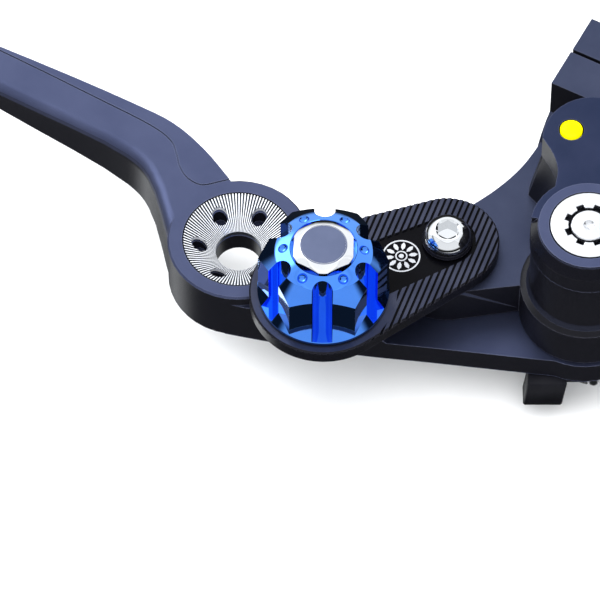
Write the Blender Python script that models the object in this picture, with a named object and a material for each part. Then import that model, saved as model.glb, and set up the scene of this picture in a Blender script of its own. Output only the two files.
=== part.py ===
"""Motorcycle clutch lever with its perch, knob-operated span adjuster and hydraulic master cylinder.

The origin is on the lever's pivot axis, in the lower face of the pivot bolt's head. X runs along
the handlebar, from the lever's tip at -X to the middle of the motorcycle, +Y points to the
handlebar and +Z is up. Shapes are drawn in millimetres, with their heights counted from the
lever's underside, and become metres in that frame when their object is made.
"""
import math

import bmesh
import bpy
from mathutils import Matrix, Vector

MM = 0.001
GAP = 0.3                      # running and assembly gap between neighbouring pieces
BOLT_HEAD = 8.0                # height of the pivot bolt's head

# Heights of the stack, from the lever's underside upwards
ROOT_TOP = 6.2                 # thin root of the lever, between the perch's two ears
LEDGE_TOP = 12.2               # neck between the root and the hub
LEVER_TOP = 15.0               # blade and hub
EAR_BOTTOM = -5.0
EAR_TOP = -0.4
LEVER_HEIGHT = BOLT_HEAD + GAP - EAR_BOTTOM    # the lever's underside above the origin
ARM_BOTTOM = 6.6
ARM_TOP = 16.8
PLATE_BOTTOM = ARM_TOP + GAP
PLATE_TOP = PLATE_BOTTOM + 3.4
KNOB_BOTTOM = PLATE_TOP + GAP
KNOB_HEIGHT = 16.8
KNOB_TOP = KNOB_BOTTOM + KNOB_HEIGHT
BOSS_TOP = 32.2
COVER_BOTTOM = BOSS_TOP + GAP
COVER_TOP = COVER_BOTTOM + 6.9
COVER_RIM_TOP = COVER_TOP + 0.5

# Places in plan
HUB = (-73.5, -24.4)           # pierced hub of the lever
KNOB = (-48.8, -30.9)          # axis of the adjuster
DOME = (-30.9, -6.3)           # screw that holds the adjuster's plate to the perch
COVER_REAR = (-9.0, 21.0)
PLUG = (-14.8, 21.0)
TIP = (-175.0, -9.4)

# Lever
HUB_RADIUS = 15.8
ROOT_RADIUS = 15.0
NOSE_RADIUS = 20.4             # reach of the nose that pushes the master cylinder
NOSE_FACE_X = -2.0
SEAT_RADIUS = 12.2             # serrated seat in the hub
SEAT_DEPTH = 4.8
SEAT_THICKNESS = 1.2
HUB_BORE = 5.1
PEG_RADIUS = 1.65
PEG_CIRCLE = 8.7
TIP_RADIUS = 8.0
TIP_HEIGHT = 11.4
BLADE_ROUNDING = 2.8
BUSH_OUTER = 6.0
BUSH_INNER = 4.3

# Span adjuster
BASE_RADIUS = 14.5
FOOT_RISE = 2.5                # height of the foot's slope, from its rim up to the flats
KNOB_ACROSS_FLATS = 24.8
TOP_RADIUS = 10.6
CROWN = 1.3                    # fall of the knob's top from its recess to its edge
SHOULDER_SLOPE = 0.97          # fall of the shoulder for each millimetre outward
FLUTES = 6
FLUTE_RADIUS = 2.28
FLUTE_CIRCLE = 10.65
DIMPLE_RADIUS = 1.0
DIMPLE_CIRCLE = 9.0
RECESS_RADIUS = 7.3
RECESS_DEPTH = 2.5
BOLT_ACROSS_FLATS = 13.0
BOLT_CORNER = 7.0              # the head's corners are turned down to clear the recess
KNOB_BOLT_HEAD = 3.45
SHAFT_RADIUS = 4.6
CAM_OFFSET = 1.0
CAM_PIN_RADIUS = 2.3
SLEEVE_RADIUS = 3.5
SLOT_RADIUS = CAM_OFFSET + SLEEVE_RADIUS + GAP
KNOB_TURN = 26.5               # the first dimple faces along this direction in plan
DOME_RADIUS = 5.2
DOME_RISE = 3.3
WASHER = 0.8

# Perch
PIVOT_RADIUS = 4.0
BOSS_RADIUS = 12.4
BOSS_FOOT = 14.3
COVER_BOSS_RADIUS = 12.7
COVER_REAR_RADIUS = 11.5
NUT_RADIUS = 8.4
NUT_SLOTS = 8
BAR_Y = 44.0
BAR_Z = 9.0
BAR_RADIUS = 11.1              # a 22 mm handlebar and its fitting clearance
CLAMP_X = (-26.0, -4.0)
CLAMP_RADIUS = 17.0
CLAMP_BOLT_OFFSET = 18.8
CLAMP_BOLT_RADIUS = 3.0

# Master cylinder, along +X behind the pivot
BORE_Y = 18.0
BORE_Z = 3.1
BORE_RADIUS = 6.35
BARREL_RADIUS = 10.0
BARREL_END = 46.0
BORE_END = 40.0
PISTON_START = 14.2
PISTON_END = 29.0
PISTON_RADIUS = BORE_RADIUS - GAP
CUP_GROOVE = 3.6
CLIP_X = 12.9
NIPPLE_X = 27.0

# Safety switch under the lever, on axes turned about the pivot
SWITCH_TURN = 28.0
SWITCH_LEFT = -12.3
SWITCH_RIGHT = -3.6
SWITCH_FRONT = -15.4
SWITCH_REAR = -10.3
SWITCH_BOTTOM = -9.4
SWITCH_LEAN = 0.9              # the housing's foot stands further out than its top
SWITCH_TOP = -0.6
PLUNGER_LINE = -12.3
PLUNGER_Z = -2.6
PLUNGER_RADIUS = 1.0
STRIKER = (2.4, -12.3)
STRIKER_RADIUS = 1.2
TAB_CENTRE = (-8.7, -6.6)
TAB_RADIUS = 2.9

FINE = 40                      # steps round large circles
MEDIUM = 24
COARSE = 14
HIDDEN = 16


# ---------------------------------------------------------------- plan outlines

def polar(centre, radius, degrees):
    """The point at a radius and an angle from a centre."""
    angle = math.radians(degrees)
    return (centre[0] + radius * math.cos(angle), centre[1] + radius * math.sin(angle))


def arc(centre, radius, start, end, steps):
    """Points on a circle from one angle to another, both included."""
    return [polar(centre, radius, start + (end - start) * i / steps) for i in range(steps + 1)]


def circle(centre, radius, steps):
    """A full circle without a doubled point."""
    return arc(centre, radius, 0.0, 360.0, steps)[:-1]


def curve(points, steps=4):
    """A smooth curve through a few points, spaced by their distances."""
    knots = [Vector(p) for p in points]
    knots = [2 * knots[0] - knots[1]] + knots + [2 * knots[-1] - knots[-2]]
    result = []
    for i in range(1, len(knots) - 2):
        p0, p1, p2, p3 = knots[i - 1:i + 3]
        d0 = max((p1 - p0).length, 1e-6) ** 0.5
        d1 = max((p2 - p1).length, 1e-6) ** 0.5
        d2 = max((p3 - p2).length, 1e-6) ** 0.5
        start = (p1 - p0) / d0 - (p2 - p0) / (d0 + d1) + (p2 - p1) / d1
        end = (p2 - p1) / d1 - (p3 - p1) / (d1 + d2) + (p3 - p2) / d2
        for step in range(steps):
            t = step / steps
            point = (p1 * (2 * t ** 3 - 3 * t ** 2 + 1) + start * d1 * (t ** 3 - 2 * t ** 2 + t)
                     + p2 * (3 * t ** 2 - 2 * t ** 3) + end * d1 * (t ** 3 - t ** 2))
            result.append(tuple(point))
    result.append(tuple(knots[-2]))
    return result


def link_outline(first, first_radius, second, second_radius, steps):
    """Two circles joined by their outer tangents."""
    line = Vector(second) - Vector(first)
    heading = math.degrees(math.atan2(line.y, line.x))
    lean = math.degrees(math.acos((first_radius - second_radius) / line.length))
    near = arc(first, first_radius, heading + lean, heading + 360.0 - lean, steps)
    far = arc(second, second_radius, heading - lean, heading + lean, steps)
    return near + far


def cover_outline(boss_radius, rear_radius):
    """The cover's plan: round over the pivot, round at the rear, with a waist on the outer side."""
    spread = rear_radius - COVER_REAR_RADIUS
    boss = arc((0.0, 0.0), boss_radius, 152.0, 378.0, 26)
    rear = arc(COVER_REAR, rear_radius, 16.0, 205.0, 20)
    waist = curve([rear[-1], (-15.3 - spread, 13.3), (-12.7 - 0.3 * spread, 10.2), boss[0]], 3)
    return boss + rear + waist[1:-1]


def switch_plan(point):
    """A point of the switch's turned axes, in the frame's own X and Y."""
    angle = math.radians(SWITCH_TURN)
    u, w = point
    return (u * math.cos(angle) - w * math.sin(angle), u * math.sin(angle) + w * math.cos(angle))


# ---------------------------------------------------------------- solids as bmeshes

def prism(outline, bottom, top, top_outline=None):
    """A closed solid between two levels; its vertices are the lower outline, then the upper."""
    shape = bmesh.new()
    low = [shape.verts.new((x, y, bottom)) for x, y in outline]
    high = [shape.verts.new((x, y, top)) for x, y in top_outline or outline]
    shape.faces.new(low)
    shape.faces.new(high)
    for i in range(len(low)):
        j = (i + 1) % len(low)
        shape.faces.new((low[i], low[j], high[j], high[i]))
    bmesh.ops.recalc_face_normals(shape, faces=shape.faces)
    return shape


def box(low, high):
    """A block between two corners."""
    outline = [(low[0], low[1]), (high[0], low[1]), (high[0], high[1]), (low[0], high[1])]
    return prism(outline, low[2], high[2])


def turned(profile, steps):
    """A solid of revolution about Z from (radius, height) points; a radius of 0 is on the axis."""
    shape = bmesh.new()
    rings = []
    for radius, height in profile:
        if radius == 0.0:
            rings.append([shape.verts.new((0.0, 0.0, height))])
        else:
            rings.append([shape.verts.new((x, y, height)) for x, y in circle((0, 0), radius, steps)])
    pairs = list(zip(rings, rings[1:]))
    if len(rings[0]) > 1:
        pairs.append((rings[-1], rings[0]))
    for first, second in pairs:
        for i in range(steps):
            j = (i + 1) % steps
            corners = [first[i % len(first)], first[j % len(first)],
                       second[j % len(second)], second[i % len(second)]]
            shape.faces.new(list(dict.fromkeys(corners)))
    bmesh.ops.recalc_face_normals(shape, faces=shape.faces)
    return shape


def rod(radius, bottom, top, steps=COARSE, bevel=0.0):
    """A round bar along Z, with a small bevel at its top and bottom edges."""
    if bevel:
        return turned([(0.0, bottom), (radius - bevel, bottom), (radius, bottom + bevel),
                       (radius, top - bevel), (radius - bevel, top), (0.0, top)], steps)
    return turned([(0.0, bottom), (radius, bottom), (radius, top), (0.0, top)], steps)


def ring(inner, outer, bottom, top, steps=MEDIUM):
    """A plain ring about Z."""
    return turned([(inner, bottom), (outer, bottom), (outer, top), (inner, top)], steps)


def coil(radius, wire, bottom, top, turns, sides=5, steps=10):
    """A compression spring of round wire about Z."""
    shape = bmesh.new()
    count = int(turns * steps)
    rise = top - bottom - 2 * wire
    sections = []
    for i in range(count + 1):
        angle = 2 * math.pi * i / steps
        height = bottom + wire + rise * i / count
        section = []
        for side in range(sides):
            around = 2 * math.pi * side / sides
            reach = radius + wire * math.cos(around)
            section.append(shape.verts.new((reach * math.cos(angle), reach * math.sin(angle),
                                            height + wire * math.sin(around))))
        sections.append(section)
    for first, second in zip(sections, sections[1:]):
        for i in range(sides):
            j = (i + 1) % sides
            shape.faces.new((first[i], first[j], second[j], second[i]))
    shape.faces.new(sections[0])
    shape.faces.new(sections[-1])
    bmesh.ops.recalc_face_normals(shape, faces=shape.faces)
    return shape


def hexagon(across_flats, bottom, top, chamfer=0.0, turn=0.0):
    """A hexagonal block about Z whose top corners are chamfered by a cone."""
    corner = across_flats / math.sqrt(3)
    outline = [polar((0, 0), corner, turn + 60 * i) for i in range(6)]
    shape = prism(outline, bottom, top)
    if chamfer:
        flat = across_flats / 2 - chamfer
        slope = 0.6 * (corner + 2 - flat)
        cone = turned([(0.0, bottom - 1), (corner + 2, bottom - 1), (corner + 2, top - slope),
                       (flat, top), (0.0, top)], MEDIUM)
        shape = boolean(shape, cone, "INTERSECT")
    return shape


def moved(shape, place):
    """The same shape, shifted."""
    bmesh.ops.translate(shape, verts=shape.verts, vec=place)
    return shape


def along_x(shape):
    """The same shape with its Z axis laid along +X."""
    bmesh.ops.transform(shape, matrix=Matrix.Rotation(math.radians(90), 4, "Y"), verts=shape.verts)
    return shape


def along_y(shape):
    """The same shape with its Z axis laid along +Y."""
    bmesh.ops.transform(shape, matrix=Matrix.Rotation(math.radians(-90), 4, "X"), verts=shape.verts)
    return shape


def boolean(base, tool, operation):
    """An exact Boolean of two closed shapes, which are used up."""
    workers = []
    for shape in (base, tool):
        mesh = bpy.data.meshes.new("boolean_work")
        shape.to_mesh(mesh)
        shape.free()
        worker = bpy.data.objects.new("boolean_work", mesh)
        bpy.context.collection.objects.link(worker)
        workers.append(worker)
    modifier = workers[0].modifiers.new("boolean", "BOOLEAN")
    modifier.operation = operation
    modifier.solver = "EXACT"
    modifier.object = workers[1]
    result = bmesh.new()
    result.from_object(workers[0], bpy.context.evaluated_depsgraph_get())
    for worker in workers:
        mesh = worker.data
        bpy.data.objects.remove(worker)
        bpy.data.meshes.remove(mesh)
    bmesh.ops.remove_doubles(result, verts=result.verts, dist=0.001)
    return result


def tidy(shape):
    """Merge the faces that lie in one plane and drop the points on their straight edges."""
    bmesh.ops.dissolve_limit(shape, angle_limit=math.radians(0.2), use_dissolve_boundaries=False,
                             verts=shape.verts, edges=shape.edges)
    return shape


def unite(base, *tools):
    """All the shapes as one body."""
    for tool in tools:
        base = boolean(base, tool, "UNION")
    return base


def cut(base, *tools):
    """The base with every tool taken away."""
    for tool in tools:
        base = boolean(base, tool, "DIFFERENCE")
    return base


def bevel_top(shape, count, first, last, width, segments):
    """Round the upper edges of a prism between two points of its outline."""
    shape.verts.ensure_lookup_table()
    high = [shape.verts[count + i] for i in range(first, last + 1)]
    edges = [shape.edges.get(pair) for pair in zip(high, high[1:])]
    bmesh.ops.bevel(shape, geom=edges, offset=width, segments=segments, profile=0.5,
                    affect="EDGES")
    return shape


# ---------------------------------------------------------------- lever

def lever_blade():
    """Blade, pierced hub, neck and thin root, machined from one bar."""
    front = curve([(TIP[0] + 2, TIP[1] - 3.6), (-140.0, -14.4), (-106.5, -15.9), (-99.8, -18.6),
                   (-85.6, -33.6)])
    rear = curve([(-82.5, -11.4), (-91.4, -6.9), (-101.0, -3.8), (-112.0, -3.2), (-146.0, -3.7),
                  (TIP[0] + 2, TIP[1] + 4.2)])
    outline = front + [HUB] + rear
    blade = prism(outline, 0.0, LEVER_TOP)
    blade = bevel_top(blade, len(outline), 0, len(front) - 1, BLADE_ROUNDING, 5)
    taper = [(-190.0, -1.0), (-89.0, -1.0), (-89.0, 0.0), (-143.0, 7.9), (-190.0, 8.2)]
    wedge = prism(taper, -10.0, 60.0)
    bmesh.ops.transform(wedge, matrix=Matrix.Rotation(math.radians(90), 4, "X"), verts=wedge.verts)
    blade = cut(blade, wedge)

    ball = bmesh.new()
    bmesh.ops.create_uvsphere(ball, u_segments=20, v_segments=12, radius=TIP_RADIUS)
    ball = moved(ball, (TIP[0], TIP[1], TIP_HEIGHT))
    hub = moved(rod(HUB_RADIUS, 0.0, LEVER_TOP, FINE, 0.4), (*HUB, 0.0))
    lever = unite(blade, hub, ball, lever_root())

    seat = turned([(0.0, LEVER_TOP - SEAT_DEPTH - SEAT_THICKNESS - GAP),
                   (HUB_BORE, LEVER_TOP - SEAT_DEPTH - SEAT_THICKNESS - GAP),
                   (SEAT_RADIUS + GAP, LEVER_TOP - SEAT_THICKNESS - GAP),
                   (SEAT_RADIUS + GAP, LEVER_TOP + 1), (0.0, LEVER_TOP + 1)], FINE)
    bore = rod(HUB_BORE, -1.0, LEVER_TOP, FINE)
    counterbore = rod(8.0, -1.0, 3.8, FINE)
    for tool in (seat, bore, counterbore):
        lever = cut(lever, moved(tool, (*HUB, 0.0)))
    for i in range(6):
        place = polar(HUB, PEG_CIRCLE, KNOB_TURN + 60 * i)
        lever = cut(lever, moved(rod(PEG_RADIUS, LEVER_TOP - 6.4, LEVER_TOP, 12), (*place, 0.0)))
    return lever


def lever_root():
    """The neck and the thin root, which turns between the perch's ears."""
    front = curve([(-69.0, -39.4), (-59.0, -36.6), (-40.6, -30.7), (-25.0, -24.7), (-4.6, -17.0)], 4)
    end = arc((0.0, 0.0), ROOT_RADIUS, -88.0, 90.0, 20)
    nose_side = math.degrees(math.acos(NOSE_FACE_X / NOSE_RADIUS))
    nose = [(NOSE_FACE_X, 14.5)] + arc((0.0, 0.0), NOSE_RADIUS, nose_side, 112.0, 4)
    rear = curve([(-9.0, 12.2), (-30.0, 1.5), (-49.0, -7.0), (-66.0, -11.6)], 4)
    root = prism(front + end + nose + rear + [HUB], 0.0, LEDGE_TOP)
    relief = turned([(0.0, ROOT_TOP), (44.5, ROOT_TOP), (50.5, LEDGE_TOP + 0.1),
                     (50.5, LEDGE_TOP + 2), (0.0, LEDGE_TOP + 2)], 72)
    aim = polar((0.0, 0.0), 1.0, -55.0)
    reach = 14.0
    slot = link_outline(KNOB, SLOT_RADIUS, (KNOB[0] + reach * aim[0], KNOB[1] + reach * aim[1]),
                        SLOT_RADIUS + 1.4, 24)
    striker = moved(rod(STRIKER_RADIUS + GAP, -1.0, ROOT_TOP + 1), (*switch_plan(STRIKER), 0.0))
    return cut(root, relief, prism(slot, -1.0, LEDGE_TOP + 1),
               rod(BUSH_OUTER + GAP, -1.0, ROOT_TOP + 1, MEDIUM), striker)


def serrated_ring():
    """Dished seat with six peg holes, let into the hub."""
    shape = turned([(HUB_BORE, LEVER_TOP - SEAT_DEPTH - SEAT_THICKNESS),
                    (SEAT_RADIUS, LEVER_TOP - SEAT_THICKNESS), (SEAT_RADIUS, LEVER_TOP),
                    (HUB_BORE, LEVER_TOP - SEAT_DEPTH)], FINE)
    for i in range(6):
        place = polar((0, 0), PEG_CIRCLE, KNOB_TURN + 60 * i)
        shape = cut(shape, moved(rod(PEG_RADIUS, 0.0, LEVER_TOP + 1, 12), (*place, 0.0)))
    return moved(shape, (*HUB, 0.0))


def pivot_bush():
    """Bearing bush between the lever and the pivot bolt."""
    return ring(BUSH_INNER, BUSH_OUTER, 0.0, ROOT_TOP)


def striker_pin():
    """Pin under the root that works the safety switch."""
    return moved(rod(STRIKER_RADIUS, -4.2, ROOT_TOP - 0.3, 16, 0.2), (*switch_plan(STRIKER), 0.0))


# ---------------------------------------------------------------- span adjuster, about its own axis

def adjuster_knob():
    """Hexagonal knob on a round foot: a flute in each flat, a dimple above each corner, a bolt recess."""
    tip = KNOB_ACROSS_FLATS / math.sqrt(3)
    rim = BASE_RADIUS + 1.0
    top = turned([(0.0, KNOB_BOTTOM), (rim, KNOB_BOTTOM),
                  (rim, KNOB_TOP - CROWN - SHOULDER_SLOPE * (rim - TOP_RADIUS)),
                  (TOP_RADIUS, KNOB_TOP - CROWN), (RECESS_RADIUS, KNOB_TOP), (0.0, KNOB_TOP)], 60)
    flats = prism([polar((0, 0), tip, 60.0 * i) for i in range(6)], KNOB_BOTTOM - 1, KNOB_TOP + 1)
    waist = KNOB_ACROSS_FLATS / 2 - 0.1
    foot = turned([(0.0, KNOB_BOTTOM), (BASE_RADIUS, KNOB_BOTTOM), (BASE_RADIUS, KNOB_BOTTOM + 1.0),
                   (waist, KNOB_BOTTOM + 1.0 + FOOT_RISE), (0.0, KNOB_BOTTOM + 1.0 + FOOT_RISE)], 60)
    shape = unite(boolean(top, flats, "INTERSECT"), foot)
    shape = cut(shape, rod(SHAFT_RADIUS + GAP, KNOB_BOTTOM - 1, KNOB_TOP + 1, MEDIUM),
                rod(RECESS_RADIUS, KNOB_TOP - RECESS_DEPTH, KNOB_TOP + 1, 60))
    for i in range(FLUTES):
        angle = 30.0 + 60.0 * i
        flute = link_outline(polar((0, 0), FLUTE_CIRCLE, angle), FLUTE_RADIUS,
                             polar((0, 0), FLUTE_CIRCLE + 8.0, angle), FLUTE_RADIUS - 0.001, 8)
        shape = cut(shape, prism(flute, KNOB_BOTTOM + 1.0, KNOB_TOP + 1))
        dimple = polar((0, 0), DIMPLE_CIRCLE, 60.0 * i)
        shape = cut(shape, moved(rod(DIMPLE_RADIUS, KNOB_TOP - 1.3, KNOB_TOP + 1, 12), (*dimple, 0.0)))
    pocket = moved(rod(1.6, KNOB_BOTTOM - 1, KNOB_BOTTOM + 5.2, 12), (DIMPLE_CIRCLE, 0.0, 0.0))
    return cut(shape, pocket)


def knob_bolt():
    """Hexagon bolt that draws the knob onto its shaft."""
    floor = KNOB_TOP - RECESS_DEPTH
    seat = floor + GAP
    head = hexagon(BOLT_ACROSS_FLATS, seat, seat + KNOB_BOLT_HEAD, 0.9, 30.0)
    head = boolean(head, rod(BOLT_CORNER, floor, KNOB_TOP + 5.0), "INTERSECT")
    return unite(head, rod(2.5, KNOB_BOTTOM + 1.4, seat + 1.0, COARSE))


def adjuster_shaft():
    """Journal with a retaining flange and an eccentric pin at its lower end."""
    flange_top = PLATE_BOTTOM - GAP
    shape = turned([(0.0, LEDGE_TOP + 0.5), (SHAFT_RADIUS, LEDGE_TOP + 0.5),
                    (SHAFT_RADIUS, flange_top - 1.8), (7.5, flange_top - 1.8), (7.5, flange_top),
                    (SHAFT_RADIUS, flange_top), (SHAFT_RADIUS, KNOB_TOP - RECESS_DEPTH - GAP),
                    (0.0, KNOB_TOP - RECESS_DEPTH - GAP)], MEDIUM)
    pin = moved(rod(CAM_PIN_RADIUS, 4.3, LEDGE_TOP + 1.0), (CAM_OFFSET, 0.0, 0.0))
    hole = rod(2.5 + GAP, KNOB_BOTTOM + 1.0, KNOB_TOP, COARSE)
    return cut(unite(shape, pin), hole)


def cam_sleeve():
    """Hardened sleeve on the eccentric pin, on which the lever's slot rests."""
    shape = ring(CAM_PIN_RADIUS + GAP, SLEEVE_RADIUS, 4.6, LEDGE_TOP, 24)
    return moved(shape, (CAM_OFFSET, 0.0, 0.0))


def detent_ball():
    """Ball that clicks from step to step."""
    ball = bmesh.new()
    bmesh.ops.create_uvsphere(ball, u_segments=10, v_segments=6, radius=1.3)
    return moved(ball, (DIMPLE_CIRCLE, 0.0, KNOB_BOTTOM + 1.3))


def detent_spring():
    """Spring over the detent ball."""
    return moved(coil(1.0, 0.2, KNOB_BOTTOM + 2.9, KNOB_BOTTOM + 4.9, 3), (DIMPLE_CIRCLE, 0.0, 0.0))


def link_plate():
    """Flat bar that carries the adjuster and is screwed to the perch's arm."""
    outline = link_outline(KNOB, 16.3, DOME, 11.5, 32)
    shape = prism(outline, PLATE_BOTTOM, PLATE_TOP)
    shaft_hole = moved(rod(6.9, PLATE_BOTTOM - 1, PLATE_TOP + 1, MEDIUM), (*KNOB, 0.0))
    screw_hole = moved(rod(3.3, PLATE_BOTTOM - 1, PLATE_TOP + 1), (*DOME, 0.0))
    return cut(shape, shaft_hole, screw_hole)


def shaft_bush():
    """Plain bearing of the adjuster's shaft, in the plate."""
    return moved(ring(SHAFT_RADIUS + GAP, 6.6, PLATE_BOTTOM, PLATE_TOP), (*KNOB, 0.0))


def cup_washer():
    """Dished washer under the dome screw."""
    base = PLATE_TOP + GAP
    shape = turned([(3.3, base), (DOME_RADIUS + 0.4, base), (DOME_RADIUS + 0.4, base + 0.4),
                    (DOME_RADIUS, base + WASHER), (3.3, base + WASHER)], MEDIUM)
    return moved(shape, (*DOME, 0.0))


def dome_screw():
    """Domed socket screw through the plate into the arm."""
    base = PLATE_TOP + GAP + WASHER + GAP
    dome = [(DOME_RADIUS * math.cos(math.radians(a)), base + 0.4 + DOME_RISE * math.sin(math.radians(a)))
            for a in (0, 18, 36, 54)]
    shape = turned([(0.0, 9.3), (3.0, 9.3), (3.0, base), (DOME_RADIUS, base)] + dome
                   + [(0.0, dome[-1][1])], MEDIUM)
    socket = hexagon(4.0, base + 1.2, base + 9.0)
    return moved(cut(shape, socket), (*DOME, 0.0))


# ---------------------------------------------------------------- perch

def perch_body():
    """Arm, pivot boss, rear block, front clamp half, lower ear and master cylinder in one casting."""
    round_end = arc(DOME, 12.0, 95.0, 313.0, 24)
    rear = curve([(CLAMP_X[0], 37.0), (-25.6, 30.0), (-26.3, 21.0), (-28.5, 13.3), round_end[0]], 4)
    outline = round_end + [(-11.0, -6.2), (11.0, -4.0), (12.0, 36.0), (-20.0, 36.5)] + rear[:-1]
    arm = bevel_top(prism(outline, ARM_BOTTOM, ARM_TOP), len(outline), 0, 24, 0.5, 1)

    boss = turned([(0.0, ARM_BOTTOM), (BOSS_FOOT, ARM_BOTTOM), (BOSS_FOOT, ARM_TOP),
                   (BOSS_FOOT - 1.3, ARM_TOP + 0.6), (BOSS_RADIUS, ARM_TOP + 1.9),
                   (BOSS_RADIUS, BOSS_TOP), (0.0, BOSS_TOP)], FINE)
    block = prism(cover_outline(BOSS_RADIUS - 0.4, COVER_REAR_RADIUS + 2.6), ARM_TOP - 1, BOSS_TOP,
                  cover_outline(BOSS_RADIUS - 0.4, COVER_REAR_RADIUS - 0.4))
    buttress = box((-21.0, 30.0, 14.0), (-5.5, 37.0, 29.0))
    body = unite(arm, boss, block, buttress)

    ear = [(14.0, 12.0), (14.0, 34.0), (-22.0, 34.0), (-22.0, 20.0)]
    ear += arc((0.0, 0.0), 9.5, 150.0, 360.0, 18)
    lug = moved(rod(TAB_RADIUS + 0.5, EAR_BOTTOM, EAR_TOP), (*switch_plan(TAB_CENTRE), 0.0))
    web = box((-21.5, 12.0, EAR_BOTTOM + 0.4), (13.5, 33.5, ARM_TOP - 0.8))
    barrel = along_x(rod(BARREL_RADIUS, 8.0, BARREL_END, 32, 0.6))
    nipple_boss = moved(rod(5.0, BORE_Z, BORE_Z + BARREL_RADIUS + 2.2, 24, 0.3), (NIPPLE_X, BORE_Y, 0.0))
    body = unite(body, prism(ear, EAR_BOTTOM, EAR_TOP), web, lug, moved(barrel, (0.0, BORE_Y, BORE_Z)),
                 nipple_boss, clamp_half(-1))

    swing = arc((0.0, 0.0), NOSE_RADIUS + 1.0, 55.0, 180.0, 20)
    pocket = prism(swing + arc((0.0, 0.0), ROOT_RADIUS + 0.9, 180.0, 415.0, 36), EAR_TOP, ARM_BOTTOM)
    approach = box((-45.0, -30.0, EAR_TOP), (0.0, 12.5, ARM_BOTTOM))
    body = cut(body, pocket, approach, rod(PIVOT_RADIUS + GAP, -20.0, 40.0, MEDIUM))
    return cut(body, *perch_holes())


def clamp_half(side):
    """Half of the handlebar clamp; side -1 is ahead of the bar and +1 behind it."""
    split = 0.4
    flange = [(split, -24.4), (10.0, -24.4), (10.0, 24.4), (split, 24.4)]
    crown = arc((split, 0.0), CLAMP_RADIUS - split, -90.0, 90.0, 16)
    shapes = []
    for outline in (flange, crown):
        mirrored = [(side * y, z) for y, z in outline]
        shape = prism(mirrored, CLAMP_X[0], CLAMP_X[1])
        swap = Matrix(((0, 0, 1, 0), (1, 0, 0, 0), (0, 1, 0, 0), (0, 0, 0, 1)))
        bmesh.ops.transform(shape, matrix=swap, verts=shape.verts)
        shapes.append(moved(shape, (0.0, BAR_Y, BAR_Z)))
    clamp = unite(*shapes)
    bar = along_x(rod(BAR_RADIUS, CLAMP_X[0] - 1, CLAMP_X[1] + 1, FINE))
    return cut(clamp, moved(bar, (0.0, BAR_Y, BAR_Z)))


def clamp_bolt_places():
    """X and height of the upper clamp bolt, then of the lower one."""
    middle = (CLAMP_X[0] + CLAMP_X[1]) / 2
    return [(middle, BAR_Z + CLAMP_BOLT_OFFSET), (middle, BAR_Z - CLAMP_BOLT_OFFSET)]


def perch_holes():
    """Every bore and threaded hole in the casting."""
    tools = [moved(rod(3.0 + GAP, 8.8, ARM_TOP + 4), (*DOME, 0.0)),
             moved(rod(1.5 + GAP, 22.0, BOSS_TOP + 1, 16), (*PLUG, 0.0)),
             moved(rod(1.25 + GAP, -8.0, 0.0, 16), (*switch_plan(TAB_CENTRE), 0.0)),
             moved(rod(2.6 + GAP, BORE_Z + 6.0, BORE_Z + 20.0), (NIPPLE_X, BORE_Y, 0.0))]
    groove = BORE_RADIUS + 0.9
    bore = turned([(0.0, 3.0), (BORE_RADIUS, 3.0), (BORE_RADIUS, CLIP_X - GAP), (groove, CLIP_X - GAP),
                   (groove, CLIP_X + 1.0), (BORE_RADIUS, CLIP_X + 1.0), (BORE_RADIUS, BORE_END),
                   (4.9, BORE_END), (4.9, BARREL_END + 1), (0.0, BARREL_END + 1)], MEDIUM)
    tools.append(moved(along_x(bore), (0.0, BORE_Y, BORE_Z)))
    bar = along_x(rod(BAR_RADIUS, CLAMP_X[0] - 1, 20.0, FINE))
    tools.append(moved(bar, (0.0, BAR_Y, BAR_Z)))
    for x, z in clamp_bolt_places():
        hole = along_y(rod(CLAMP_BOLT_RADIUS + GAP, BAR_Y - 11.0, BAR_Y + 2.0))
        tools.append(moved(hole, (x, 0.0, z)))
    return tools


def clamp_cap():
    """Rear half of the handlebar clamp."""
    shape = clamp_half(1)
    for x, z in clamp_bolt_places():
        hole = along_y(rod(CLAMP_BOLT_RADIUS + GAP, BAR_Y - 2.0, BAR_Y + 19.0))
        shape = cut(shape, moved(hole, (x, 0.0, z)))
    return shape


def clamp_bolt(x, z):
    """Socket-head bolt of the clamp, driven from behind."""
    seat = BAR_Y + 10.0 + GAP
    shape = turned([(0.0, BAR_Y - 9.0), (CLAMP_BOLT_RADIUS, BAR_Y - 9.0), (CLAMP_BOLT_RADIUS, seat),
                    (5.0, seat), (5.0, seat + 5.4), (4.5, seat + 5.9), (0.0, seat + 5.9)], 24)
    socket = hexagon(5.0, seat + 2.9, seat + 8.0)
    return moved(along_y(cut(shape, socket)), (x, 0.0, z))


def upper_clamp_bolt():
    """The clamp bolt over the handlebar."""
    return clamp_bolt(*clamp_bolt_places()[0])


def lower_clamp_bolt():
    """The clamp bolt under the handlebar."""
    return clamp_bolt(*clamp_bolt_places()[1])


def pivot_cover():
    """Thick cover over the pivot boss, with a raised rim round the ring nut."""
    shape = prism(cover_outline(COVER_BOSS_RADIUS, COVER_REAR_RADIUS), COVER_BOTTOM, COVER_TOP)
    shape = unite(shape, rod(11.0, COVER_TOP - 1, COVER_RIM_TOP, FINE))
    recess = rod(NUT_RADIUS + GAP, COVER_TOP - 1.8, COVER_TOP + 2, FINE)
    screw = rod(1.5 + GAP, COVER_BOTTOM - 1, COVER_TOP, 16)
    plug = rod(2.8, COVER_BOTTOM + 1.5, COVER_TOP + 1, 24)
    return cut(shape, recess, rod(PIVOT_RADIUS + GAP, 30.0, 45.0, MEDIUM), moved(screw, (*PLUG, 0.0)),
               moved(plug, (*PLUG, 0.0)))


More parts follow.
